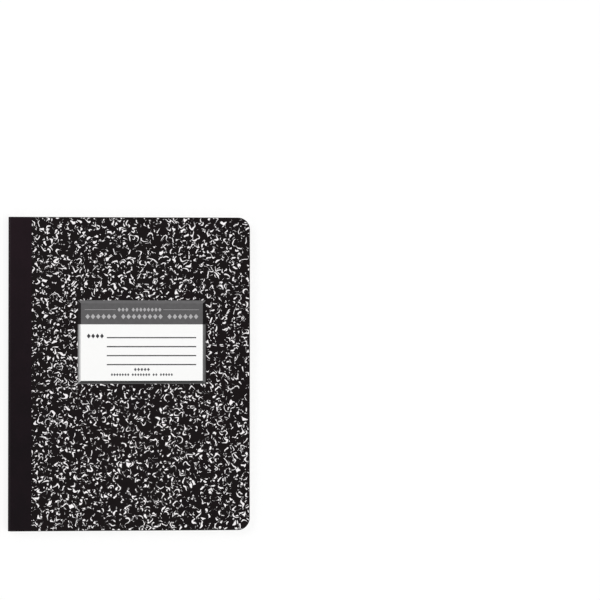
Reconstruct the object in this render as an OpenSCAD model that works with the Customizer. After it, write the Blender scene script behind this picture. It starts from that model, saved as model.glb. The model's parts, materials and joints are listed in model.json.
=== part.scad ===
// Composition notebook, closed and lying on its back cover: two marbled
// pressboard covers, plain leaves sewn through one fold, and a black tape
// round the spine. The spine is at -X, the head of the book at +Y, and the
// origin is under the middle of the book. Lengths are in millimetres.

/* [Book] */
// Height of the book, head to tail
book_h = 247.65; // [170:0.05:330]
// Width of the closed book, spine tape to fore edge
book_w = 190.5; // [165:0.05:260]
// Radius of the two corners at the fore edge
corner_r = 9.5; // [2:0.5:25]

/* [Covers] */
// Thickness of a cover board
board_t = 0.6; // [0.4:0.05:2]
// Thickness of the printed ink on a board
ink_t = 0.04; // [0.02:0.01:0.08]

/* [Pages] */
// Number of leaves, two to a folded sheet
leaf_count = 50; // [30:2:100]
// Thickness of one leaf
leaf_t = 0.1; // [0.08:0.01:0.14]
// Height of the strips that the page edges show, where sheets lie unevenly
strip_h = 0.5; // [0.4:0.05:1]
// Width of the fine groove between two strips
groove_w = 0.12; // [0.08:0.01:0.2]
// Depth of that groove
groove_d = 0.4; // [0.2:0.05:0.8]

/* [Sewing] */
// Length of one stitch along the fold
stitch_pitch = 8; // [5:0.5:14]
// Distance from the head or tail to the first stitch hole
stitch_margin = 11; // [6:0.5:20]
// Diameter of the thread
thread_d = 0.4; // [0.3:0.05:0.6]
// Clearance round the thread in its holes
thread_play = 0.1; // [0.05:0.01:0.2]

/* [Binding tape] */
// Width of the tape on a cover, from the spine
tape_w = 18.7; // [10:0.1:32]
// Thickness of the tape
tape_t = 0.2; // [0.12:0.01:0.3]
// Glue between the tape and the folded sheets
glue_gap = 0.03; // [0.02:0.01:0.1]
// Distance that the hinge line lies outside the shoulder of the spine
hinge_out = 0.28; // [0.2:0.01:0.5]
// Room between the edge of an open cover and the spine
swing_gap = 0.4; // [0.3:0.05:1]
// Distance from the hinge line to the tape on either side of it
crease_gap = 0.1; // [0.05:0.01:0.2]

/* [Marbling] */
// Side of the square that each fleck has to itself
fleck_pitch = 12; // [12:0.1:20]
// Length of the longest fleck
fleck_len = 11; // [6:0.5:11]
// Width of the widest fleck
fleck_w = 3.6; // [1.5:0.1:4]
// Whole ink along the edges of the print
fleck_rim = 0.8; // [0.4:0.1:3]
// Chooses another set of flecks
fleck_seed = 7; // [1:1:500]

/* [Label] */
// Width of the label, with its frame
label_w = 100.8; // [60:0.1:105]
// Height of the label, with its frame
label_h = 66; // [45:0.1:80]
// Distance from the spine to the label
label_in = 54.8; // [36:0.1:56]
// Distance from the head of the book to the label
label_down = 65.7; // [20:0.1:85]
// Width of the frame
frame_w = 2.4; // [0.8:0.1:3]
// Height of the dark band at the head of the label
band_h = 16.6; // [10:0.1:20]
// Number of writing lines
line_count = 4; // [1:1:5]
// Distance between two writing lines
line_pitch = 7.1; // [5:0.1:8]
// Length of a writing line
line_len = 70.4; // [30:0.1:74]
// Thickness of a writing line
line_t = 0.9; // [0.3:0.05:1.1]
// Distance from the band to the first writing line
line_down = 10.5; // [6:0.1:12]
// Distance from the right end of the lines to the frame
line_in = 5.2; // [2:0.1:8]
// Distance from the ends of the long row of lozenges to the frame
title_in = 3.2; // [1:0.1:8]
// Length of the short row of lozenges in the band
small_len = 35; // [20:0.1:38]
// Distance that the short row lies left of the middle
small_off = 1.9; // [0:0.1:3]
// Distance from the thin rules to the frame
rule_in = 3; // [1:0.1:6]
// Distance from the thin rules to the short row
rule_gap = 1.2; // [0.5:0.1:4]
// Length of the row of lozenges beside the first writing line
mark_len = 13.9; // [8:0.1:15]
// Distance from that row to the line
mark_gap = 2.1; // [1:0.1:3]
// Length of the row of lozenges below the lines
kind_len = 12.9; // [8:0.1:20]
// Length of the row of lozenges at the foot of the label
foot_len = 49.3; // [30:0.1:70]

/* [Hidden] */
$fn = 96;

ink_black = [0.11, 0.10, 0.10];
tape_black = [0.12, 0.10, 0.11];
frame_grey = [0.33, 0.33, 0.33];
band_grey = [0.37, 0.37, 0.37];
line_grey = [0.22, 0.22, 0.22];
board_white = [0.93, 0.93, 0.91];
leaf_white = [0.97, 0.97, 0.95];
thread_white = [0.90, 0.89, 0.85];

// Levels, from the table up
block_t = leaf_count * leaf_t;
cover_t = leaf_t + board_t + tape_t;
back_z = cover_t;
front_z = back_z + block_t;
mid_z = back_z + block_t / 2;

// Places across the book, from the spine to the fore edge
spine_x = -book_w / 2;
fore_x = book_w / 2;
fold_r = block_t / 2;
spine_r = fold_r + glue_gap + tape_t;
fold_x = spine_x + spine_r;
hinge_x = spine_side(fold_r) - hinge_out;
board_x = 2 * hinge_x - spine_side(max(0, fold_r - cover_t)) + swing_gap;
tape_x = spine_x + tape_w;

// Stitch holes, spread evenly between the two margins
stitch_run = book_h - 2 * stitch_margin;
stitch_count = floor(stitch_run / stitch_pitch);
stitch_step = stitch_run / stitch_count;
channel_w = thread_d + thread_play;
outer_run_x = fold_x - fold_r + channel_w / 2 + thread_play / 2;
leg_d = 0.75 * thread_d;

// Label edges
label_x = spine_x + label_in;
label_top = book_h / 2 - label_down;
label_y = label_top - label_h;
panel_x = label_x + frame_w;
panel_w = label_w - 2 * frame_w;
panel_top = label_top - frame_w;
band_y = panel_top - band_h;
title_y = band_y + 0.37 * band_h;
rule_y = band_y + 0.7 * band_h;
rule_t = 0.3;
panel_mid = panel_x + panel_w / 2;
small_x = panel_mid - small_off;
line_end = label_x + label_w - frame_w - line_in;
first_line = band_y - line_down;
last_line = first_line - (line_count - 1) * line_pitch;
foot_h = last_line - label_y - frame_w;

// Lozenges in each group of a row, and the room between groups as a share of one
title_row = [6, 8, 6];
small_row = [3, 8];
mark_row = [4];
kind_row = [5];
foot_row = [7, 7, 2, 5];
group_gap = 0.7;
lozenge_fill = 0.86;

// How far left the tape on the round of the spine reaches, up above its middle
function spine_side(up) = fold_x - sqrt(spine_r * spine_r - up * up);

// A number between low and high that belongs to one fleck alone
function pick(low, high, column, row, turn) =
    rands(low, high, 1, fleck_seed * 7919 + turn * 104729 + column * 331 + row)[0];

// Puts a piece of a cover on the pages, its inner face on z = 0
module on_front() {
    translate([0, 0, front_z]) children();
}

// The same piece under the pages, turned over
module on_back() {
    translate([0, 0, back_z]) mirror([0, 0, 1]) children();
}

// Stands a section drawn in x and z along the whole height of the book
module along_book() {
    translate([0, book_h / 2, 0]) rotate([90, 0, 0]) linear_extrude(book_h) children();
}

// Outline of a trimmed sheet from x = from to the fore edge, less an inset
module trimmed_sheet(from, inset = 0) {
    high = book_h / 2 - inset;
    far = fore_x - inset;
    r = max(0.5, corner_r - inset);
    difference() {
        translate([from, -high]) square([far - from, 2 * high]);
        for (side = [-1, 1]) scale([1, side]) translate([far - r, high - r]) difference() {
            square(2 * r);
            circle(r);
        }
    }
}

// Where a group of a row starts, counted in lozenges from the start of the row
function group_start(groups, g) =
    g == 0 ? 0 : group_start(groups, g - 1) + groups[g - 1] + group_gap;

// Lozenges in groups on a level row about its middle, each with a little room on both sides
module lozenge_row(groups, length, height) {
    places = group_start(groups, len(groups)) - group_gap;
    pitch = length / places;
    width = lozenge_fill * pitch;
    for (g = [0:len(groups) - 1], i = [0:groups[g] - 1])
        translate([(group_start(groups, g) + i + 0.5 - places / 2) * pitch, 0])
            polygon([[-width / 2, 0], [0, -height / 2], [width / 2, 0], [0, height / 2]]);
}

// One bare fleck in the ink: a shard, a crescent or a blunt bent stroke
module fleck(kind, len, width, bow) {
    half = len / 2;
    thick = width / 2;
    if (kind < 0.2)
        polygon([[-half / 2, -thick], [half / 2, bow], [-half / 3, 1.4 * thick]]);
    else if (kind < 0.72)
        polygon([[-half, -bow / 2], [0, bow - 1.2 * thick], [half, -bow / 2], [0, bow + thick]]);
    else
        polygon([[-half, -bow - thick / 2], [0, bow - thick], [half, -thick],
                 [half, thick / 2], [0, bow + thick], [-half, -bow + thick / 2]]);
}

// Flecks strewn over a cover. Each stays in its own square, so that none
// meets another, and the squares of every other column are shifted by half.
module flecks(side) {
    columns = ceil((fore_x - tape_x) / fleck_pitch);
    rows = ceil(book_h / fleck_pitch / 2);
    for (c = [0:columns - 1], r = [-rows:rows]) {
        len = fleck_len * pick(0.5, 1, c, r, side);
        width = fleck_w * pick(0.6, 1, c, r, side + 2);
        bow = fleck_w * pick(-0.5, 0.5, c, r, side + 4);
        play = max(0, fleck_pitch / 2 - norm([len / 2, abs(bow) + width / 2]));
        x = fore_x - (c + 0.5) * fleck_pitch + play * pick(-1, 1, c, r, side + 6);
        y = (r + c % 2 / 2) * fleck_pitch + play * pick(-1, 1, c, r, side + 8);
        translate([x, y]) rotate(pick(0, 360, c, r, side + 10))
            fleck(pick(0, 1, c, r, side + 12), len, width, bow);
    }
}

module label_area(rim = 0) {
    translate([label_x - rim, label_y - rim]) square([label_w + 2 * rim, label_h + 2 * rim]);
}

module panel_area() {
    translate([panel_x, label_y + frame_w]) square([panel_w, label_h - 2 * frame_w]);
}

// A cover board with its two round corners at the fore edge
module board() {
    translate([0, 0, leaf_t]) linear_extrude(board_t) trimmed_sheet(board_x);
}

// A flat print on the outer face of a board
module print() {
    translate([0, 0, leaf_t + board_t]) linear_extrude(ink_t) children();
}

// Black ink between the tape and the fore edge, open at every fleck
module marbling(side) {
    difference() {
        trimmed_sheet(tape_x);
        intersection() {
            trimmed_sheet(tape_x + fleck_rim, fleck_rim);
            flecks(side);
        }
    }
}

// The outermost leaf of the fold, pasted to the inside of a board
module end_leaf() {
    linear_extrude(leaf_t) trimmed_sheet(board_x);
}

// Tape on a cover: flat on the board, then down over its edge to the hinge line
module cover_tape() {
    top = cover_t;
    slope = atan2(top - crease_gap / 5, board_x - hinge_x - crease_gap / 2);
    along_book() polygon([
        [hinge_x + crease_gap / 2, crease_gap / 5],
        [board_x, top],
        [tape_x, top],
        [tape_x, top - tape_t],
        [board_x, top - tape_t],
        [hinge_x + crease_gap / 2 + tape_t / sin(slope), crease_gap / 5]
    ]);
}

// Section of the folded sheets: flat above and below, round at the fold
module fold_section() {
    translate([fold_x, mid_z]) circle(fold_r);
    translate([fold_x, back_z]) square([fore_x - fold_x, block_t]);
}

module thread_line(x, d, len) {
    translate([x, len / 2, mid_z]) rotate([90, 0, 0]) cylinder(d = d, h = len);
}

module stitch_holes(d) {
    for (i = [0:stitch_count])
        translate([outer_run_x, i * stitch_step - stitch_run / 2, mid_z])
            rotate([0, 90, 0]) cylinder(d = d, h = fold_x - outer_run_x, $fn = 24);
}

// Folded sheets as one block, with the strips of its edges and its sewing holes
module page_block() {
    strips = floor(block_t / strip_h);
    color(leaf_white) difference() {
        intersection() {
            along_book() fold_section();
            linear_extrude(front_z) trimmed_sheet(spine_x);
        }
        for (i = [1:strips - 1])
            translate([0, 0, back_z + i * block_t / strips - groove_w / 2])
                linear_extrude(groove_w) difference() {
                    trimmed_sheet(board_x, -1);
                    trimmed_sheet(board_x - 1, groove_d);
                }
        translate([spine_x, -book_h, mid_z - channel_w / 2])
            cube([outer_run_x + channel_w / 2 - spine_x, 2 * book_h, channel_w]);
        thread_line(fold_x, channel_w, book_h + 2);
        stitch_holes(channel_w);
    }
}

// Thread down the back of the fold and up its inside, crossing at each hole
module sewing_thread() {
    color(thread_white) union() {
        thread_line(outer_run_x, thread_d, book_h);
        thread_line(fold_x, thread_d, book_h);
        stitch_holes(leg_d);
    }
}

// Tape round the fold, from one hinge line to the other
module spine_tape() {
    color(tape_black) along_book() translate([fold_x, mid_z]) intersection() {
        difference() {
            circle(spine_r);
            circle(fold_r + glue_gap);
        }
        translate([-spine_r, crease_gap - fold_r]) square([spine_r, 2 * (fold_r - crease_gap)]);
    }
}

module back_board() {
    color(board_white) on_back() board();
}

module back_marbling() {
    color(ink_black) on_back() print() marbling(0);
}

module back_end_leaf() {
    color(leaf_white) on_back() end_leaf();
}

module back_tape() {
    color(tape_black) on_back() cover_tape();
}

module front_board() {
    color(board_white) on_front() board();
}

// The ink stops at the label, which is the bare white of the board
module front_marbling() {
    color(ink_black) on_front() print() difference() {
        union() {
            marbling(1);
            label_area(fleck_rim);
        }
        label_area();
    }
}

module front_end_leaf() {
    color(leaf_white) on_front() end_leaf();
}

module front_tape() {
    color(tape_black) on_front() cover_tape();
}

module label_frame() {
    color(frame_grey) on_front() print() difference() {
        label_area();
        panel_area();
    }
}

// Grey band with two thin rules and two rows of lozenges left bare
module label_band() {
    color(band_grey) on_front() print() difference() {
        translate([panel_x, band_y]) square([panel_w, band_h]);
        translate([panel_mid, title_y])
            lozenge_row(title_row, panel_w - 2 * title_in, 0.25 * band_h);
        translate([small_x, rule_y]) lozenge_row(small_row, small_len, 0.2 * band_h);
        for (ends = [[panel_x + rule_in, small_x - small_len / 2 - rule_gap],
                     [small_x + small_len / 2 + rule_gap, panel_x + panel_w - rule_in]])
            translate([ends[0], rule_y - rule_t / 2]) square([ends[1] - ends[0], rule_t]);
    }
}

// Writing lines, with small rows of lozenges beside the first and below the last
module label_lines() {
    color(line_grey) on_front() print() {
        for (y = [first_line:-line_pitch:last_line - line_pitch / 2])
            translate([line_end - line_len, y - line_t / 2]) square([line_len, line_t]);
        translate([line_end - line_len - mark_gap - mark_len / 2, first_line + 0.18 * line_pitch])
            lozenge_row(mark_row, mark_len, 0.54 * line_pitch);
        translate([panel_mid, last_line - 0.3 * foot_h])
            lozenge_row(kind_row, kind_len, 0.22 * foot_h);
        translate([panel_mid, last_line - 0.62 * foot_h])
            lozenge_row(foot_row, foot_len, 0.19 * foot_h);
    }
}

back_board();
back_marbling();
back_end_leaf();
back_tape();
page_block();
sewing_thread();
spine_tape();
front_board();
front_marbling();
front_end_leaf();
front_tape();
label_frame();
label_band();
label_lines();
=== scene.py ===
import json
import math

import bmesh
import bpy
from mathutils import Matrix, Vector


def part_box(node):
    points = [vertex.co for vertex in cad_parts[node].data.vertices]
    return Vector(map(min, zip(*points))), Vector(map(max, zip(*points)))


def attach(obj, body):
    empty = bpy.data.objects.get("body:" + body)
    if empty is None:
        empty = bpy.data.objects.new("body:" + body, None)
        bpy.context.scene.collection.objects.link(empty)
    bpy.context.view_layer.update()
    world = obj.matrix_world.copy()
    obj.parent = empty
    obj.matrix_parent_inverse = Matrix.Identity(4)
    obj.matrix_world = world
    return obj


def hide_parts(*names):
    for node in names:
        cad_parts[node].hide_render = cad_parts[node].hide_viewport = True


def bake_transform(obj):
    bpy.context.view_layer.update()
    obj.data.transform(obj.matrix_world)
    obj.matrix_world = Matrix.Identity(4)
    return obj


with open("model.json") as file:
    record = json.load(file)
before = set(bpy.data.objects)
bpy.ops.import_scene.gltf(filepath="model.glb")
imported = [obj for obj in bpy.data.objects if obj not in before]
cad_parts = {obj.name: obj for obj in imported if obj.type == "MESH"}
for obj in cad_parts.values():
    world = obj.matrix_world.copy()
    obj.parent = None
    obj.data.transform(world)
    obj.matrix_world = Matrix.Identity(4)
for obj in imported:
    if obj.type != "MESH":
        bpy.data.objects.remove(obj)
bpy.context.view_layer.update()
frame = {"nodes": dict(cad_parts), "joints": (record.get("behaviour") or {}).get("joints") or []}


# Folded sheets: fifty plain leaves of uncoated white writing paper, two to a sheet. The
# twenty-five sheets are folded one inside the other and trimmed together on three sides,
# so their edges lie almost flush, with a fine step here and there.
MM = 0.001


class Wire:
    """What comes out of a node: sums and products of wires become Math nodes"""

    def __init__(self, tree, socket):
        self.tree = tree
        self.socket = socket

    def maths(self, operation, *others):
        values = dict(enumerate([self, *others]))
        return self.tree.node("ShaderNodeMath", {"operation": operation}, values)

    def __add__(self, other):
        return self.maths("ADD", other)

    def __sub__(self, other):
        return self.maths("SUBTRACT", other)

    def __rsub__(self, other):
        return self * -1 + other

    def __mul__(self, other):
        return self.maths("MULTIPLY", other)

    def __truediv__(self, other):
        return self.maths("DIVIDE", other)

    __radd__ = __add__
    __rmul__ = __mul__


class Tree:
    """A node tree being laid out, for a material or for Geometry Nodes"""

    def __init__(self, tree):
        self.tree = tree

    def node(self, kind, settings=(), values=(), output=0):
        made = self.tree.nodes.new(kind)
        for name, value in dict(settings).items():
            setattr(made, name, value)
        for name, value in dict(values).items():
            if isinstance(value, Wire):
                self.tree.links.new(value.socket, made.inputs[name])
            else:
                made.inputs[name].default_value = value
        return Wire(self, made.outputs[output]) if made.outputs else None

    def steps(self, value, low, high, start=0.0, end=1.0):
        """A smooth climb from start to end while value goes from low to high"""
        return self.node("ShaderNodeMapRange", {"interpolation_type": "SMOOTHSTEP"}, {
            "Value": value, "From Min": low, "From Max": high, "To Min": start, "To Max": end})

    def parts(self, vector):
        """The three numbers of a vector"""
        first = self.node("ShaderNodeSeparateXYZ", {}, {0: vector})
        return [Wire(self, socket) for socket in first.socket.node.outputs]


class Finish(Tree):
    """A material whose colour, gloss and grain come from nodes"""

    def __init__(self, name, **constants):
        self.material = bpy.data.materials.new(name)
        self.material.use_nodes = True
        super().__init__(self.material.node_tree)
        self.shader = self.tree.nodes["Principled BSDF"]
        for socket, value in constants.items():
            self.shader.inputs[socket.replace("_", " ")].default_value = value

    def feed(self, **wires):
        for socket, wire in wires.items():
            self.tree.links.new(wire.socket, self.shader.inputs[socket.replace("_", " ")])

    def place(self, shift=(0.0, 0.0, 0.0)):
        """Object coordinates in millimetres, plus a shift"""
        at = self.node("ShaderNodeTexCoord", output=3)
        scale = (1 / MM,) * 3
        return self.node("ShaderNodeMapping", {}, {"Vector": at, "Location": shift, "Scale": scale})

    def grain(self, size, detail=2.0, stretch=(1.0, 1.0, 1.0)):
        """Soft noise about a middle of 0.5, in lumps of that many millimetres"""
        at = self.node("ShaderNodeVectorMath", {"operation": "MULTIPLY"}, {
            0: self.place(), 1: stretch})
        return self.node("ShaderNodeTexNoise", {}, {
            "Vector": at, "Scale": 1 / size, "Detail": detail})

    def blend(self, share, first, second):
        """A colour between two others"""
        return self.node("ShaderNodeMix", {"data_type": "RGBA"}, {0: share, 6: first, 7: second}, 2)

    def bump(self, height, depth):
        """Relief that is depth millimetres high where height is 1"""
        return self.node("ShaderNodeBump", {}, {"Height": height, "Distance": depth * MM})


def tone(red, green, blue):
    """A colour as a print shop names it, 0 to 255, in the light's own scale"""
    linear = [c / 12.92 if c <= 0.04045 else ((c + 0.055) / 1.055) ** 2.4
              for c in (red / 255, green / 255, blue / 255)]
    return (*linear, 1.0)


def group_tree(name, sizes):
    """A Geometry Nodes tree whose inputs carry the given names and kinds"""
    group = bpy.data.node_groups.new(name, "GeometryNodeTree")
    group.interface.new_socket(name="Geometry", in_out="INPUT", socket_type="NodeSocketGeometry")
    for label, kind in sizes.items():
        group.interface.new_socket(name=label, in_out="INPUT", socket_type="NodeSocket" + kind)
    group.interface.new_socket(name="Geometry", in_out="OUTPUT", socket_type="NodeSocketGeometry")
    tree = Tree(group)
    entry = group.nodes.new("NodeGroupInput")
    return tree, {socket.name: Wire(tree, socket) for socket in entry.outputs if socket.name}


def end_tree(tree, geometry, material):
    """Realizes what the tree has repeated, gives it its material and closes the tree"""
    real = tree.node("GeometryNodeRealizeInstances", {}, {"Geometry": geometry})
    finished = tree.node("GeometryNodeSetMaterial", {}, {"Geometry": real, "Material": material})
    tree.node("NodeGroupOutput", {}, {"Geometry": finished})


def make_plain(piece):
    """Keeps the plain mesh that the modifiers of a piece make"""
    evaluated = piece.evaluated_get(bpy.context.evaluated_depsgraph_get())
    piece.data = bpy.data.meshes.new_from_object(evaluated)
    piece.modifiers.clear()


def grow(piece, tree, sizes):
    """Runs a Geometry Nodes tree on a piece, and keeps the plain mesh that it makes"""
    modifier = piece.modifiers.new("grow", "NODES")
    modifier.node_group = tree.tree
    for item in tree.tree.interface.items_tree:
        if item.in_out == "INPUT" and item.name in sizes:
            modifier[item.identifier] = sizes[item.name]
    piece.modifiers.move(len(piece.modifiers) - 1, 0)
    make_plain(piece)


def new_piece(name, points, faces, edges=()):
    """A piece from its points, in metres, and its faces"""
    mesh = bpy.data.meshes.new(name)
    mesh.from_pydata([tuple(p) for p in points], list(edges), faces)
    piece = bpy.data.objects.new(name, mesh)
    bpy.context.scene.collection.objects.link(piece)
    return piece


def face_outwards(piece, crease=35.0):
    """Turns every face outwards, and shades smoothly across edges flatter than a crease"""
    shape = bmesh.new()
    shape.from_mesh(piece.data)
    bmesh.ops.recalc_face_normals(shape, faces=shape.faces)
    shape.to_mesh(piece.data)
    shape.free()
    piece.data.polygons.foreach_set("use_smooth", [True] * len(piece.data.polygons))
    piece.data.set_sharp_from_angle(angle=math.radians(crease))


def writing_paper(name):
    """Uncoated white paper: faintly cloudy, with a fine tooth, and layered on its cut edges"""
    paper = Finish(name, Roughness=0.82, Specular_IOR_Level=0.25)
    cloud = paper.grain(1.6, 3.0)
    layer = paper.grain(0.35, 1.0, stretch=(0.02, 0.02, 1.0))
    shade = cloud * 0.5 + layer * 0.5
    paper.feed(Base_Color=paper.blend(shade, tone(240, 239, 234), tone(250, 249, 246)),
               Normal=paper.bump(paper.grain(0.16, 1.0), 0.01))
    return paper.material


leaf = 0.1 * MM
sheet_count = 25
paper_t = 0.08 * MM
trim_play = 0.16 * MM
corner = 9.5 * MM
thread = 0.4 * MM
block_low, block_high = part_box("page_block")
fold_r = (block_high.z - block_low.z) / 2
fold = Vector((block_low.x + fold_r, 0, (block_low.z + block_high.z) / 2))
fore, head = block_high.x, block_high.y

# Stations along a sheet, from the round corner of one leaf over the fold to that of the other.
# Each has x, half the height there, and how far it has gone round the fold, from 1 to -1.
quarter = math.radians(90)
round_steps = 9
stations = []
for i in range(round_steps):
    turn = quarter * i / (round_steps - 1)
    stations.append((fore - corner * (1 - math.cos(turn)), head - corner * (1 - math.sin(turn)), 1))
for reach in (60, 12, 3, 2.2, 1.5, 1, 0.6, 0.3, 0):
    stations.append((fold.x + reach * MM, head, 1))
flat_leaf = list(stations)
bend_steps = 13
crowding = 1.4
half_bends = [(i / bend_steps) ** crowding for i in range(bend_steps - 1, 0, -1)]
bends = [(fold.x, head, b) for b in half_bends] + [(fold.x, head, 0)]
stations += bends + [(x, y, -b) for x, y, b in reversed(stations + bends[:-1])]


def paper_sheet(name, points):
    """A sheet with its thickness, through points that come in pairs, at its tail and its head"""
    pairs = len(points) // 2
    strips = [(2 * i, 2 * i + 1, 2 * i + 3, 2 * i + 2) for i in range(pairs - 1)]
    piece = new_piece(name, points, strips)
    thick = piece.modifiers.new("thickness", "SOLIDIFY")
    thick.thickness = paper_t
    thick.offset = 0
    return piece


points = [(x, edge * y, 0) for x, y, _ in stations for edge in (-1, 1)]
pages = paper_sheet("folded_sheets", points)
bend = pages.data.attributes.new("bend", "FLOAT", "POINT")
bend.data.foreach_set("value", [b * quarter for _, _, b in stations for _ in range(2)])

tree, given = group_tree("nested folds", {
    "Sheets": "Int", "Leaf": "Float", "Thread": "Float", "Fold": "Vector", "Round": "Float",
    "Play": "Float", "Seed": "Int", "Paper": "Material"})
row = tree.node("GeometryNodeMeshLine", {"mode": "OFFSET"}, {"Count": given["Sheets"]})
row = tree.node("GeometryNodeStoreNamedAttribute", {"data_type": "FLOAT", "domain": "POINT"}, {
    "Geometry": row, "Name": "sheet", "Value": tree.node("GeometryNodeInputIndex")})
stack = tree.node("GeometryNodeInstanceOnPoints", {}, {
    "Points": row, "Instance": given["Geometry"]})
stack = tree.node("GeometryNodeRealizeInstances", {}, {"Geometry": stack})
number, angle = (tree.node("GeometryNodeInputNamedAttribute", {"data_type": "FLOAT"}, {
    "Name": name}) for name in ("sheet", "bend"))
x, y, _ = tree.parts(tree.node("GeometryNodeInputPosition"))
fold_x, _, fold_z = tree.parts(given["Fold"])
# A sheet swells over the thread inside the fold, and the thread behind it draws its crown in
radius = (number + 0.5) * given["Leaf"]
swell_end = 3 * MM
swell = tree.steps(x - fold_x, 0.0, swell_end, 1.0, 0.0) * given["Thread"] * 0.5
bulge = (radius * radius + swell * swell).maths("SQRT")
crown = math.radians(15)
squeeze = tree.steps(angle.maths("ABSOLUTE"), 0.0, crown, 1.0, 0.0)
spare = (bulge - given["Thread"] * 0.5).maths("MAXIMUM", 0.0) / given["Round"]
bulge = bulge - squeeze * spare * given["Thread"] * 1.1
# The guillotine leaves each leaf a little short, most of them by next to nothing
lay = number * 2 + angle.maths("GREATER_THAN", 0.0)
cuts = []
for turn in range(2):
    short = tree.node("FunctionNodeRandomValue", {"data_type": "FLOAT"}, {
        "Min": 0.0, "Max": 1.0, "ID": lay, "Seed": given["Seed"] + turn}, 1)
    cuts.append(short * short * short * given["Play"])
across = (x - fold_x) * (1 - cuts[0] / (fore - fold.x))
place = tree.node("ShaderNodeCombineXYZ", {}, {
    0: fold_x + across - bulge * angle.maths("COSINE"),
    1: y * (1 - cuts[1] / head),
    2: fold_z + bulge * angle.maths("SINE")})
stack = tree.node("GeometryNodeSetPosition", {}, {"Geometry": stack, "Position": place})
end_tree(tree, stack, given["Paper"])

grow(pages, tree, {
    "Sheets": sheet_count, "Leaf": leaf, "Thread": thread, "Fold": fold, "Round": fold_r,
    "Play": trim_play, "Seed": 5, "Paper": writing_paper("writing_paper")})
face_outwards(pages)
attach(pages, "pages")
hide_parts("page_block")


# Sewing: two cotton threads, each twisted from two plies. A machine lays one down the back
# of the fold and one up its inside, locks them in every hole, and runs off both ends.
stitch_count = 32
stitch = 8.06 * MM
ply = 0.11 * MM
ply_off = 0.09 * MM
twists = 5
flat_share = 0.86
thread_steps = 24
thread_low, thread_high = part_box("sewing_thread")
runs = [(thread_low.x + thread / 2, 1), (thread_high.x - thread / 2, -1)]
depth = (runs[1][0] - runs[0][0]) / 2

points, edges = [], []
for line, inward in runs:
    for phase in (0, math.pi):
        start = len(points)
        for i in range(thread_steps + 1):
            t = i / thread_steps
            edge = max(0.0, (abs(2 * t - 1) - flat_share) / (1 - flat_share))
            dip = depth * edge * edge * (3 - 2 * edge)
            turn = 2 * math.pi * twists * t + phase
            points.append((line + inward * dip + ply_off * math.cos(turn), (t - 0.5) * stitch,
                           fold.z + ply_off * math.sin(turn)))
        edges += [(start + i, start + i + 1) for i in range(thread_steps)]
sewing = new_piece("sewing", points, [], edges)

tree, given = group_tree("row of stitches", {
    "Stitches": "Int", "Stitch": "Vector", "Start": "Vector", "Ply": "Float",
    "Cotton": "Material"})
row = tree.node("GeometryNodeMeshLine", {"mode": "OFFSET"}, {
    "Count": given["Stitches"], "Start Location": given["Start"], "Offset": given["Stitch"]})
path = tree.node("GeometryNodeMeshToCurve", {}, {"Mesh": given["Geometry"]})
ring = tree.node("GeometryNodeCurvePrimitiveCircle", {}, {"Resolution": 6, "Radius": given["Ply"]})
ply_mesh = tree.node("GeometryNodeCurveToMesh", {}, {
    "Curve": path, "Profile Curve": ring, "Fill Caps": True})
seam = tree.node("GeometryNodeInstanceOnPoints", {}, {"Points": row, "Instance": ply_mesh})
end_tree(tree, seam, given["Cotton"])

cotton = Finish("cotton_thread", Roughness=0.7, Specular_IOR_Level=0.3)
fibre = cotton.grain(0.08, 2.0, stretch=(1.0, 0.3, 1.0))
cotton.feed(Base_Color=cotton.blend(fibre, tone(212, 208, 196), tone(242, 240, 232)),
            Normal=cotton.bump(fibre, 0.03))
grow(sewing, tree, {
    "Stitches": stitch_count, "Stitch": (0, stitch, 0), "Ply": ply,
    "Start": (0, -stitch * (stitch_count - 1) / 2, 0),
    "Cotton": cotton.material})

# The guillotine that trims the sheets cuts the threads flush with them
shape = bmesh.new()
shape.from_mesh(sewing.data)
for side in (-1, 1):
    cut = bmesh.ops.bisect_plane(shape, geom=[*shape.verts, *shape.edges, *shape.faces],
                                 plane_co=(0, side * head, 0), plane_no=(0, side, 0),
                                 clear_outer=True)
    rim = [part for part in cut["geom_cut"] if isinstance(part, bmesh.types.BMEdge)]
    bmesh.ops.holes_fill(shape, edges=rim)
shape.to_mesh(sewing.data)
shape.free()
face_outwards(sewing, 60.0)
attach(sewing, "pages")
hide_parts("sewing_thread")


# End leaves: one more sheet round all the others, of the same paper. Each of its leaves bends
# at a hinge line and is pasted down over the whole inside of its board. The narrow part that
# lies hidden between the fold and the tape is left out.
hinge = Vector(next(j for j in frame["joints"] if j["name"] == "front_hinge")["pos_m"])


def bend_at_hinge(piece, side):
    """Bakes the placement of a piece into its mesh, alike for the front and the back cover"""
    if side == "front":
        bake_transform(piece)
    else:
        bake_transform(piece)


# From its board the leaf goes on round the fold by these angles, in degrees. None of them is
# inside the crease.
end_r = fold_r + leaf / 2
end_turns = [math.radians(a) for a in (4.5, 9, 13.5, 18, 22.5, 31, 35, 39)]
route = [(x, y, 0.0) for x, y, _ in flat_leaf] + [(fold.x, head, turn) for turn in end_turns]
end_paper = writing_paper("end_paper")
for side, up in (("front", 1), ("back", -1)):
    points = [(x - end_r * math.sin(turn), edge * y, fold.z + up * end_r * math.cos(turn))
              for x, y, turn in route for edge in (-1, 1)]
    end_leaf = paper_sheet(side + "_pasted_leaf", points)
    make_plain(end_leaf)
    end_leaf.data.materials.append(end_paper)
    face_outwards(end_leaf)
    bend_at_hinge(end_leaf, side)
    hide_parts(side + "_end_leaf")


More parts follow.
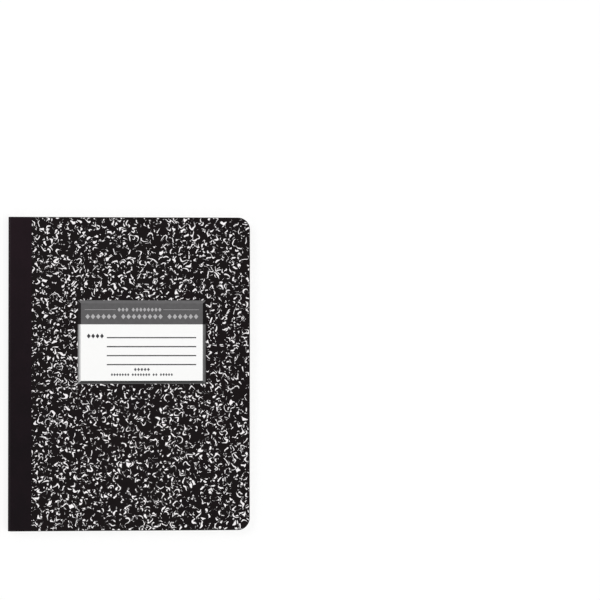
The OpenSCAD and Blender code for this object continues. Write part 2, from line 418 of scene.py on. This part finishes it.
# Cover boards: stiff white pressboard, clay-coated on the outside and cut with two round
# corners at the fore edge, where the greyer fibres of its core show.
def plate(name, outline, low, high, soft):
    """A flat card of that outline, its edges softened by the cutting die"""
    count = len(outline)
    points = [(x, y, z) for z in (low, high) for x, y in outline]
    sides = [(i, (i + 1) % count, count + (i + 1) % count, count + i) for i in range(count)]
    piece = new_piece(name, points, [tuple(range(count)), tuple(range(count, 2 * count)), *sides])
    shape = bmesh.new()
    shape.from_mesh(piece.data)
    bmesh.ops.recalc_face_normals(shape, faces=shape.faces)
    rims = [e for e in shape.edges if abs(e.verts[0].co.z - e.verts[1].co.z) < soft / 10]
    bmesh.ops.bevel(shape, geom=rims, offset=soft, segments=2, affect="EDGES",
                    profile=0.6, clamp_overlap=True)
    shape.to_mesh(piece.data)
    shape.free()
    face_outwards(piece)
    return piece


def cut_outline(left, right, top):
    """A sheet from x = left to the fore edge, with its two corners rounded"""
    steps = 16
    arc = [quarter * i / steps for i in range(steps + 1)]
    upper = [(right - corner + corner * math.sin(a), top - corner + corner * math.cos(a))
             for a in arc]
    return [(left, -top), (left, top), *upper, *[(x, -y) for x, y in reversed(upper)]]


def pressboard(name, tint=()):
    """White coating on the faces and greyish fibres on the cut edges. Within the two corners
    of a tint the coating carries a light grey print, which shows through the band over it"""
    board = Finish(name, Specular_IOR_Level=0.2)
    normal = board.node("ShaderNodeTexCoord", output=1)
    level = board.parts(normal)[2].maths("ABSOLUTE")
    face = board.steps(level, 0.4, 0.8)
    ply_grain = board.grain(0.12, 2.0, stretch=(0.15, 0.15, 1.0))
    core = board.blend(ply_grain, tone(176, 170, 158), tone(222, 217, 206))
    coat = board.blend(board.grain(4.0, 3.0), tone(248, 248, 247), tone(251, 251, 250))
    if tint:
        x, y, _ = board.parts(board.place())
        near, far = (corner_at / MM for corner_at in tint)
        inside = [x.maths("GREATER_THAN", near.x), y.maths("GREATER_THAN", near.y),
                  x.maths("LESS_THAN", far.x), y.maths("LESS_THAN", far.y)]
        coat = board.blend(inside[0] * inside[1] * inside[2] * inside[3], coat, tone(176, 175, 176))
    board.feed(Base_Color=board.blend(face, core, coat),
               Roughness=face * -0.25 + 0.8,
               Normal=board.bump(board.grain(0.3, 2.0), 0.012))
    return board.material


die_soft = 0.09 * MM
for side, tint in (("front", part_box("label_band")), ("back", ())):
    low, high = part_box(side + "_board")
    board = plate(side + "_card", cut_outline(low.x, high.x, high.y), low.z, high.z, die_soft)
    board.data.materials.append(pressboard(side + "_pressboard", tint))
    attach(board, side + "_cover")
    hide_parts(side + "_board")


# Marbling: one coat of black ink on the outside of each board, from under the tape to the
# cut edges. The pattern is the traditional one, of curls, hooks and specks that stay white.
def strokes(ink, at, under, cell, share, reach, width, bow):
    """Adds one hook or speck, or none, in each cell of a scattered grid, with a gap round it.
    Share is how many cells have one; its reach and width are halves, in millimetres"""
    made = ink.node("ShaderNodeTexVoronoi", {"voronoi_dimensions": "2D"}, {
        "Vector": at, "Scale": 1 / cell, "Randomness": 0.8}).socket.node
    lot, centre = (Wire(ink, made.outputs[name]) for name in ("Color", "Position"))
    away = ink.node("ShaderNodeVectorMath", {"operation": "SUBTRACT"}, {0: at, 1: centre})
    x, y, _ = ink.parts(away)
    # a cell draws three lots, and the fractions of their sums serve as more
    red, green, blue = ink.parts(lot)
    turn = red * math.tau
    cosine, sine = turn.maths("COSINE"), turn.maths("SINE")
    along, across = x * cosine + y * sine, y * cosine - x * sine
    length = (blue * 0.75 + 0.25) * reach
    part = along / length
    square = part * part
    # a short mark has a kink in its middle, and a long one an even curve
    kink = (square + 0.06).maths("SQRT") if reach < 3 else square
    bent = (green - 0.5) * (2 * bow)
    off = (across - bent * length * (kink - 0.35)).maths("ABSOLUTE")
    taper = part * (green * 17.3 + blue * 3.1).maths("FRACT") * 0.85 + 1.0
    fat = (red * 5.3 + green * 9.1).maths("FRACT") * 0.7 + 0.65
    half = (1 - square * square).maths("MAXIMUM", -1.0) * taper * fat * width
    inside = half - off / ((bent * part).maths("ABSOLUTE") + 1.0)
    kept = (red * 7.31 + green * 3.17 + blue * 5.71).maths("FRACT").maths("LESS_THAN", share)
    blur, gap = 0.06, 0.8
    mark = ink.steps(inside, -blur, blur) * kept
    if under is None:
        return mark
    clear = 1 - ink.steps(inside, -gap, 0.15 - gap) * kept
    return (under * clear).maths("MAXIMUM", mark)


def marbling(name, shift):
    """Black ink on white board; shift chooses another part of the endless pattern"""
    ink = Finish(name, Specular_IOR_Level=0.1)
    at = ink.place(shift=(shift, shift, 0))
    shake = ink.node("ShaderNodeTexNoise", {"noise_dimensions": "2D"}, {
        "Vector": at, "Scale": 0.24, "Detail": 0.3}, 1)
    thin = ink.node("ShaderNodeTexNoise", {"noise_dimensions": "2D"}, {
        "Vector": at, "Scale": 0.16, "Detail": 1.0})
    thin = ink.steps(thin, 0.3, 0.7, 0.04, 0.24)
    # specks, short hooks and long curls: where each starts, then its cell, share, reach,
    # width and bow
    layers = ((611, 3.2, 0.6, 1.2, thin, 0.7),
              (11, 5.2, 0.67, 2.0, 0.42, 1.2),
              (211, 7.0, 0.79, 3.0, 0.38, 1.5))
    sway = 3.2
    bare = None
    for start, *sizes in layers:
        moved = ink.node("ShaderNodeVectorMath", {"operation": "ADD"}, {
            0: at, 1: (start, 0.7 * start, 0)})
        moved = ink.node("ShaderNodeVectorMath", {"operation": "MULTIPLY_ADD"}, {
            0: shake, 1: (sway, sway, 0), 2: moved})
        bare = strokes(ink, moved, bare, *sizes)
    # whole ink along the edges that the die has cut
    x, y, _ = ink.parts(ink.place())
    over = [x - (fore - corner) / MM, y.maths("ABSOLUTE") - (head - corner) / MM]
    past = [way.maths("MAXIMUM", 0.0) for way in over]
    round_off = (past[0] * past[0] + past[1] * past[1]).maths("SQRT")
    edge = round_off + over[0].maths("MAXIMUM", over[1]).maths("MINIMUM", 0.0)
    rim = 0.7
    bare = bare * ink.steps(edge, corner / MM - rim, corner / MM - rim + 0.3, 1.0, 0.0)
    cloud = ink.grain(7.0, 2.0)
    black = ink.blend(cloud, tone(18, 13, 14), tone(23, 18, 19))
    ink.feed(Base_Color=ink.blend(bare, black, tone(248, 245, 246)),
             Roughness=bare * 0.12 + cloud * 0.1 + 0.42,
             Normal=ink.bump(ink.grain(0.3, 2.0) - bare * 0.6, 0.012))
    return ink.material


def printed_sheet(name, node, window=()):
    """A film of ink over a board, less a window that stays free of it"""
    low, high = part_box(node)
    shape = bmesh.new()
    ring = [shape.verts.new((x, y, low.z)) for x, y in cut_outline(low.x, high.x, high.y)]
    shape.faces.new(ring)
    if window:
        near, far = window
        for axis in ((1, 0, 0), (0, 1, 0)):
            for corner_at in window:
                bmesh.ops.bisect_plane(shape, geom=[*shape.verts, *shape.edges, *shape.faces],
                                       plane_co=corner_at, plane_no=axis)
        inner = [f for f in shape.faces if near.x < f.calc_center_median().x < far.x
                 and near.y < f.calc_center_median().y < far.y]
        bmesh.ops.delete(shape, geom=inner, context="FACES")
    top = bmesh.ops.extrude_face_region(shape, geom=list(shape.faces), use_keep_orig=True)
    lifted = [part for part in top["geom"] if isinstance(part, bmesh.types.BMVert)]
    bmesh.ops.translate(shape, verts=lifted, vec=(0, 0, high.z - low.z))
    mesh = bpy.data.meshes.new(name)
    shape.to_mesh(mesh)
    shape.free()
    piece = bpy.data.objects.new(name, mesh)
    bpy.context.scene.collection.objects.link(piece)
    face_outwards(piece)
    return piece


for side, window, shift in (("front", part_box("label_frame"), 0.0), ("back", (), 173.0)):
    sheet = printed_sheet(side + "_print", side + "_marbling", window)
    sheet.data.materials.append(marbling(side + "_marbling_ink", shift))
    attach(sheet, side + "_cover")
    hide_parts(side + "_marbling")


# Label: printed on the board with the marbling, in greys. A mitred frame, toned side by side
# like a bevel, goes round a grey band with paler lozenges and a white field with its lines.
def label_ink(node, ink, colour):
    """Gives a node of the label its ink, a little uneven as a flat print is"""
    spread = ink.grain(3.0, 2.0) * 0.3 + 0.85
    shade = ink.node("ShaderNodeVectorMath", {"operation": "SCALE"}, {0: colour, "Scale": spread})
    ink.feed(Base_Color=shade, Normal=ink.bump(ink.grain(0.3, 2.0), 0.012))
    for slot in frame["nodes"][node].material_slots:
        slot.material = ink.material


band_ink, line_ink, frame_ink = (
    Finish(name, Specular_IOR_Level=0.12, Roughness=0.5)
    for name in ("band_grey", "line_grey", "frame_grey"))
label_ink("label_band", band_ink, tone(93, 92, 93)[:3])

# The two rows below this height, in millimetres, are paler
foot_y = 6.0
_, y, _ = line_ink.parts(line_ink.place())
foot = y.maths("LESS_THAN", foot_y)
label_ink("label_lines", line_ink, line_ink.blend(foot, tone(64, 64, 66), tone(96, 96, 98)))

# Each side of the frame ends where it is as near to the next side as to its own edge
x, y, _ = frame_ink.parts(frame_ink.place())
low, high = (corner_at / MM for corner_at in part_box("label_frame"))
field = y.maths("LESS_THAN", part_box("label_band")[0].y / MM)
left, right, down, up = x - low.x, high.x - x, y - low.y, high.y - y
ends = down.maths("MINIMUM", up)
across = frame_ink.steps(left, 0.2, 2.6)
left_tone = frame_ink.blend(across, tone(128, 128, 128), tone(222, 222, 222))
left_tone = frame_ink.blend(field, tone(28, 25, 26), left_tone)
across = frame_ink.steps(right, 0.8, 1.4)
right_tone = frame_ink.blend(across, tone(84, 84, 84), tone(108, 108, 108))
right_tone = frame_ink.blend(field, tone(16, 14, 15), right_tone)
across = frame_ink.steps(down, 0.5, 1.1)
foot_tone = frame_ink.blend(across, tone(86, 86, 86), tone(56, 56, 56))
at_foot = down.maths("LESS_THAN", 5.0)
colour = frame_ink.blend(at_foot, tone(102, 101, 102), foot_tone)
colour = frame_ink.blend(left.maths("LESS_THAN", ends), colour, left_tone)
colour = frame_ink.blend(right.maths("LESS_THAN", ends), colour, right_tone)
label_ink("label_frame", frame_ink, colour)


# Binding tape: black book cloth, glued round the folds and over both boards once the book
# is sewn. It is the hinge of both covers, and is made in two halves, one for each.
tape_t = 0.2 * MM
glue = 0.03 * MM
spine_r = fold_r + glue + tape_t
tape_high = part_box("front_tape")[1]


def round_path():
    """Outside of the front half of the tape, as x and z, from the spine's middle line"""
    path = []
    # round the fold
    leave = math.radians(140)
    for i in range(21):
        turn = math.pi + (leave - math.pi) * i / 20
        path.append(Vector((fold.x + spine_r * math.cos(turn), fold.z + spine_r * math.sin(turn))))
    # in an easy curve to the hinge line, less its last two steps, which the crease takes up
    curve_steps = 8
    slope = math.radians(42)
    shoulder = 0.3 * MM
    start, end = path[-1], Vector((hinge.x, hinge.z))
    into = Vector((math.sin(leave), -math.cos(leave)))
    out = Vector((math.cos(slope), math.sin(slope)))
    span = (end - start).length
    for i in range(1, curve_steps - 1):
        t = i / curve_steps
        near = 2 * t ** 3 - 3 * t ** 2 + 1
        leaving, arriving = (t ** 3 - 2 * t ** 2 + t) * span, (t ** 3 - t ** 2) * span
        path.append(start * near + into * leaving + end * (1 - near) + out * arriving)
    # up the edge of the board and round onto its face
    top = tape_high.z
    knee = Vector((hinge.x + (top - hinge.z) / math.tan(slope), top))
    before, after = knee - out * shoulder, knee + Vector((shoulder, 0))
    path += [end.lerp(before, i / 4) for i in range(1, 5)]
    for i in range(1, 9):
        t = i / 8
        path.append(before * (1 - t) ** 2 + knee * (2 * t * (1 - t)) + after * t ** 2)
    path += [Vector((x, top)) for x in (fold.x + 4 * MM, fold.x + 10 * MM, tape_high.x)]
    return path


def tape_half(name, flip):
    """Half of the tape, from the spine's middle to its straight edge on one cover"""
    outer = round_path()
    normals = []
    for i in range(len(outer)):
        way = outer[min(i + 1, len(outer) - 1)] - outer[max(i - 1, 0)]
        normals.append(Vector((way.y, -way.x)).normalized())
    normals[0] = Vector((1, 0))
    normals[-1] = Vector((0, -1))
    inner = [p + n * tape_t for p, n in zip(outer, normals)]
    lengths = [0.0]
    for a, b in zip(outer, outer[1:]):
        lengths.append(lengths[-1] + (b - a).length)
    count = len(outer)
    loop = outer + inner[::-1]
    reach = lengths + lengths[::-1]
    mirror = (lambda z: 2 * fold.z - z) if flip else (lambda z: z)
    points = [(p.x, y, mirror(p.y)) for y in (-head, head) for p in loop]
    size = len(loop)
    walls = [(i, (i + 1) % size, size + (i + 1) % size, size + i) for i in range(size)]
    ends = [(base + i, base + i + 1, base + size - 2 - i, base + size - 1 - i)
            for base in (0, size) for i in range(count - 1)]
    piece = new_piece(name, points, walls + ends)
    face_outwards(piece)
    cloth_map = piece.data.uv_layers.new(name="cloth")
    for corner_loop in piece.data.loops:
        index = corner_loop.vertex_index
        along = reach[index % size] * (-1 if flip else 1)
        cloth_map.data[corner_loop.index].uv = (along / MM, points[index][1] / MM)
    return piece


def book_cloth():
    """Plain weave, filled and dyed black, with the faint ridge of the sewing down its middle"""
    cloth = Finish("book_cloth", Specular_IOR_Level=0.12)
    at = cloth.node("ShaderNodeUVMap", {"uv_map": "cloth"})
    warp, weft, _ = cloth.parts(at)
    pitch = 0.36
    cells = (warp / pitch).maths("FLOOR") + (weft / pitch).maths("FLOOR")
    over = (cells * 0.5).maths("FRACT") * 2
    ridge = [(t * (math.pi / pitch)).maths("SINE").maths("ABSOLUTE") for t in (warp, weft)]
    weave = ridge[0] * over + ridge[1] * (1 - over)
    slub = cloth.node("ShaderNodeTexNoise", {"noise_dimensions": "2D"}, {
        "Vector": at, "Scale": 0.5, "Detail": 3.0})
    seam = cloth.steps(warp.maths("ABSOLUTE"), 0.15, 0.55, 1.0, 0.0)
    hole = ((weft / (stitch / MM) + 0.5).maths("FRACT") - 0.5).maths("ABSOLUTE")
    seam = seam * cloth.steps(hole, 0.02, 0.09)
    relief = weave * 0.35 + slub * 0.5 + seam * 2.0
    cloud = cloth.node("ShaderNodeTexNoise", {"noise_dimensions": "2D"}, {
        "Vector": at, "Scale": 0.06, "Detail": 2.0})
    # Painted light: the cloth is painted paler towards its head and darker towards its foot
    painted_head_light = cloth.steps(weft, -70, 130)
    shade = cloth.steps(cloud * 0.7 + slub * 0.3, 0.35, 0.65) * 0.3 + painted_head_light * 0.7
    cloth.feed(Base_Color=cloth.blend(shade, tone(14, 6, 11), tone(26, 13, 20)),
               Roughness=weave * -0.1 + 0.72,
               Normal=cloth.bump(relief, 0.05))
    return cloth.material


cloth_finish = book_cloth()
for side, *nodes in (("front", "front_tape", "spine_tape"), ("back", "back_tape")):
    tape = tape_half(side + "_half_of_tape", side == "back")
    tape.data.materials.append(cloth_finish)
    bend_at_hinge(tape, side)
    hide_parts(*nodes)


# Table and light: a plain white table before a white backdrop, and soft light from all sides
# that is weaker from straight above, where the camera hangs.
camera = bpy.data.objects.new("camera", bpy.data.cameras.new("camera"))
camera.data.lens = 100
camera.location = (64.84 * MM, 50.86 * MM, 1329.1 * MM)
camera.rotation_euler = [math.radians(a) for a in (0.33, -3.04, 0.05)]
bpy.context.scene.collection.objects.link(camera)
bpy.context.scene.camera = camera

table = new_piece("table", [(-20, -20, 0), (20, -20, 0), (20, 20, 0), (-20, 20, 0)], [(0, 1, 2, 3)])
top = Finish("table_white", Roughness=0.9, Specular_IOR_Level=0.0)
top.feed(Base_Color=top.blend(top.grain(40.0, 1.0), (0.84, 0.84, 0.84, 1), (0.86, 0.86, 0.86, 1)))


def seen_directly(tree):
    """1 for what the camera, a reflection or a clear piece shows, 0 for light on its way"""
    path = tree.node("ShaderNodeLightPath").socket.node
    rays = [Wire(tree, path.outputs["Is " + kind + " Ray"])
            for kind in ("Camera", "Glossy", "Transmission")]
    return rays[0].maths("MAXIMUM", rays[1]).maths("MAXIMUM", rays[2])


# What is seen of the table glows by itself, so that it is white and still takes the shadow
glow = top.node("ShaderNodeEmission", {}, {"Color": (1, 1, 1, 1), "Strength": 0.74})
shade = top.node("ShaderNodeBsdfDiffuse", {}, {"Color": (0.27, 0.27, 0.27, 1)})
pale = top.node("ShaderNodeAddShader", {}, {0: shade, 1: glow})
both = top.node("ShaderNodeMixShader", {}, {
    0: seen_directly(top), 1: Wire(top, top.shader.outputs[0]), 2: pale})
top.tree.links.new(both.socket, top.tree.nodes["Material Output"].inputs["Surface"])
table.data.materials.append(top.material)

world = bpy.data.worlds.new("soft_light")
bpy.context.scene.world = world
world.use_nodes = True
sky = Tree(world.node_tree)
height = sky.parts(sky.node("ShaderNodeTexCoord"))[2]
# The light climbs from the horizon and falls again to straight above, and what is seen of it
# low down is white
level = sky.steps(height, 0.05, 0.5, 0.75, 1.25) - sky.steps(height, 0.55, 0.97, 0.0, 1.05)
level = level + seen_directly(sky) * sky.steps(height, 0.15, 0.45, 1.0, 0.0) * (1 - level)
lamp = sky.node("ShaderNodeBackground", {}, {"Color": (1, 1, 1, 1), "Strength": level})
sky.tree.links.new(lamp.socket, sky.tree.nodes["World Output"].inputs["Surface"])

for name, place, size, power in (("key", (-0.9, 0.8, 1.3), 0.9, 7.0),
                                 ("fill", (1.1, -0.5, 1.1), 1.1, 3.5)):
    light = bpy.data.objects.new(name, bpy.data.lights.new(name, "AREA"))
    light.data.shape = "DISK"
    light.data.size = size
    light.data.energy = power
    light.location = place
    light.rotation_euler = (-Vector(place)).to_track_quat("-Z", "Y").to_euler()
    bpy.context.scene.collection.objects.link(light)

bpy.context.scene.view_settings.view_transform = "Standard"
